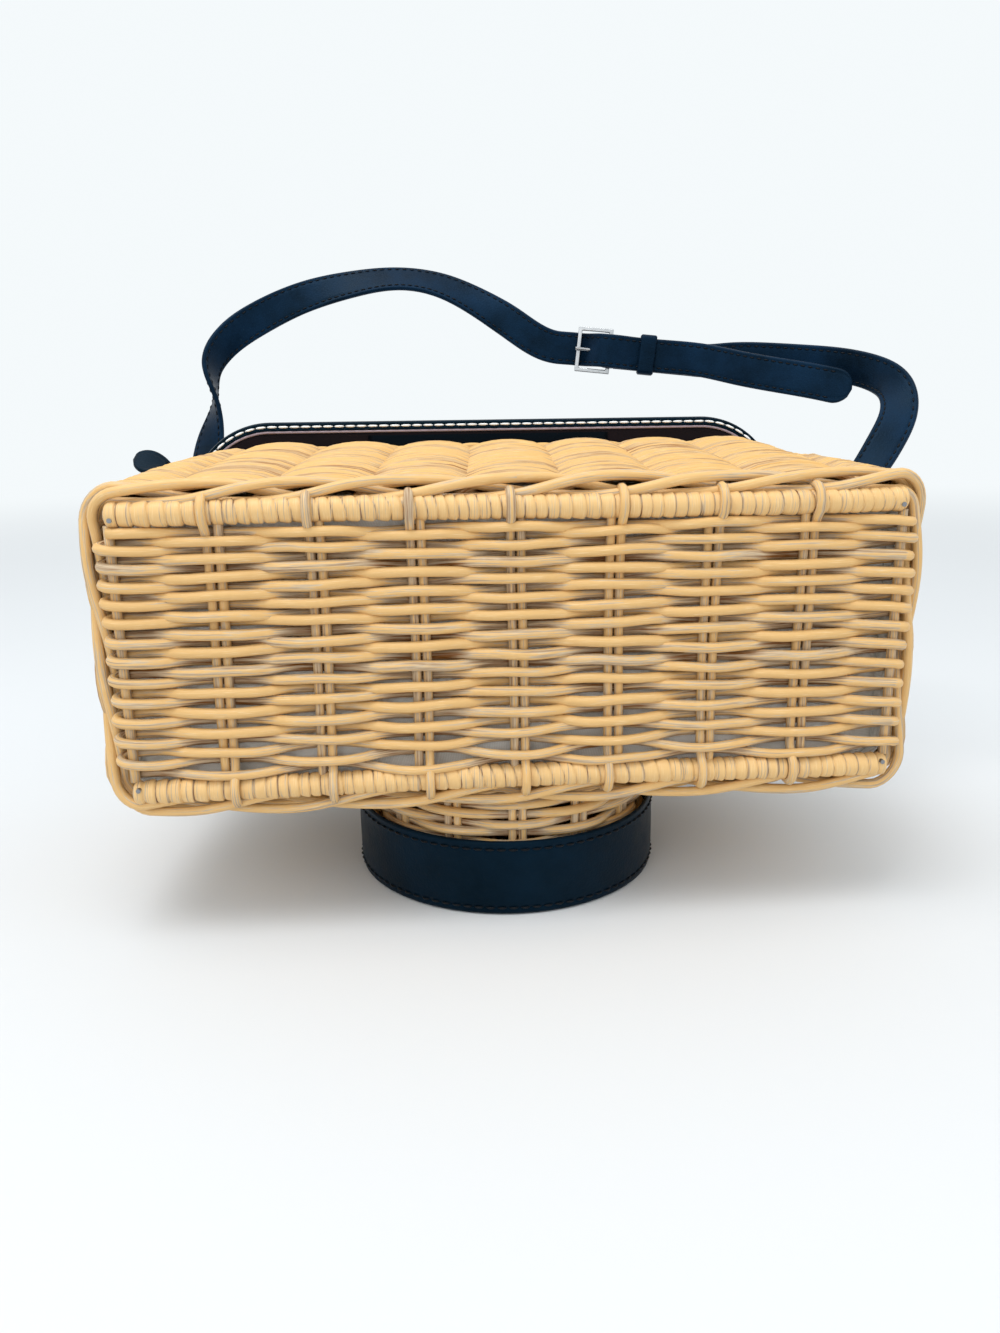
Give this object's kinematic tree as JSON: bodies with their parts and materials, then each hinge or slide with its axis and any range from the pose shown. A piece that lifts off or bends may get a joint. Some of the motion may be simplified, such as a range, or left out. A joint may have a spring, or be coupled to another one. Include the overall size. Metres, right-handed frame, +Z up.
{
  "type": "basket box bag",
  "caption": "Woven rattan box bag with a hinged leather lid, a round barrel on its front wall and a buckled leather strap.",
  "frame": {"origin": "centre of the flat end of the front barrel, on which the bag lies", "axes": "+Z up, from the front wall towards the back wall; +Y from the base towards the lid; +X to the right seen from the base"},
  "size_m": [0.3661, 0.269, 0.2628],
  "materials": {
    "rattan": "peeled rattan rods, clear lacquer",
    "cane_whipping": "flat cane, satin",
    "navy_leather": "smooth finished leather, satin",
    "lid_cloth": "dark twill",
    "cotton_lining": "plain cotton",
    "fibreboard": "pressed board",
    "nickel_plate": "polished nickel plate",
    "steel_nails": "dull steel"
  },
  "bodies": {
    "basket": {"base_weave": "rattan", "base_rod_back": "cane_whipping", "base_rod_front": "cane_whipping", "base_post_left": "rattan", "base_post_right": "rattan", "base_nails": "steel_nails", "base_stakes_1": "rattan", "base_stakes_2": "rattan", "base_stakes_3": "rattan", "base_stakes_4": "rattan", "base_stakes_5": "rattan", "base_stakes_6": "rattan", "base_stakes_7": "rattan", "upset_wale": "rattan", "basket_wall": "rattan", "rim_border": "rattan", "lining": "cotton_lining", "front_barrel": "rattan", "barrel_band": "navy_leather", "hinge_strip": "navy_leather", "catch_tab": "navy_leather", "catch_magnet_rim": "nickel_plate", "side_tab_left": "navy_leather", "side_tab_right": "navy_leather", "pivot_screw_left": "nickel_plate", "pivot_screw_right": "nickel_plate", "pivot_nut_left": "nickel_plate", "pivot_nut_right": "nickel_plate"},
    "lid": {"lid_panel": "navy_leather", "lid_board": "fibreboard", "lid_lining": "lid_cloth", "catch_magnet_lid": "nickel_plate"},
    "strap": {"strap_long": "navy_leather", "strap_short": "navy_leather", "buckle_frame": "nickel_plate", "buckle_prong": "nickel_plate"},
    "keeper": {"strap_keeper": "navy_leather"}
  },
  "joints": [
    {"name": "lid_hinge", "type": "hinge", "parent": "basket", "child": "lid", "pos_m": [0, 0.0726, 0.1726], "axis": [1, 0, 0], "range_deg": [0, 95]},
    {"name": "strap_swing", "type": "hinge", "parent": "basket", "child": "strap", "pos_m": [0, 0.05, 0.103], "axis": [1, 0, 0], "range_deg": [-70, 35]},
    {"name": "keeper_slide", "type": "slide", "parent": "strap", "child": "keeper", "axis": [0.9791, -0.171, -0.11], "range_m": [-0.004, 0.018]}
  ]
}
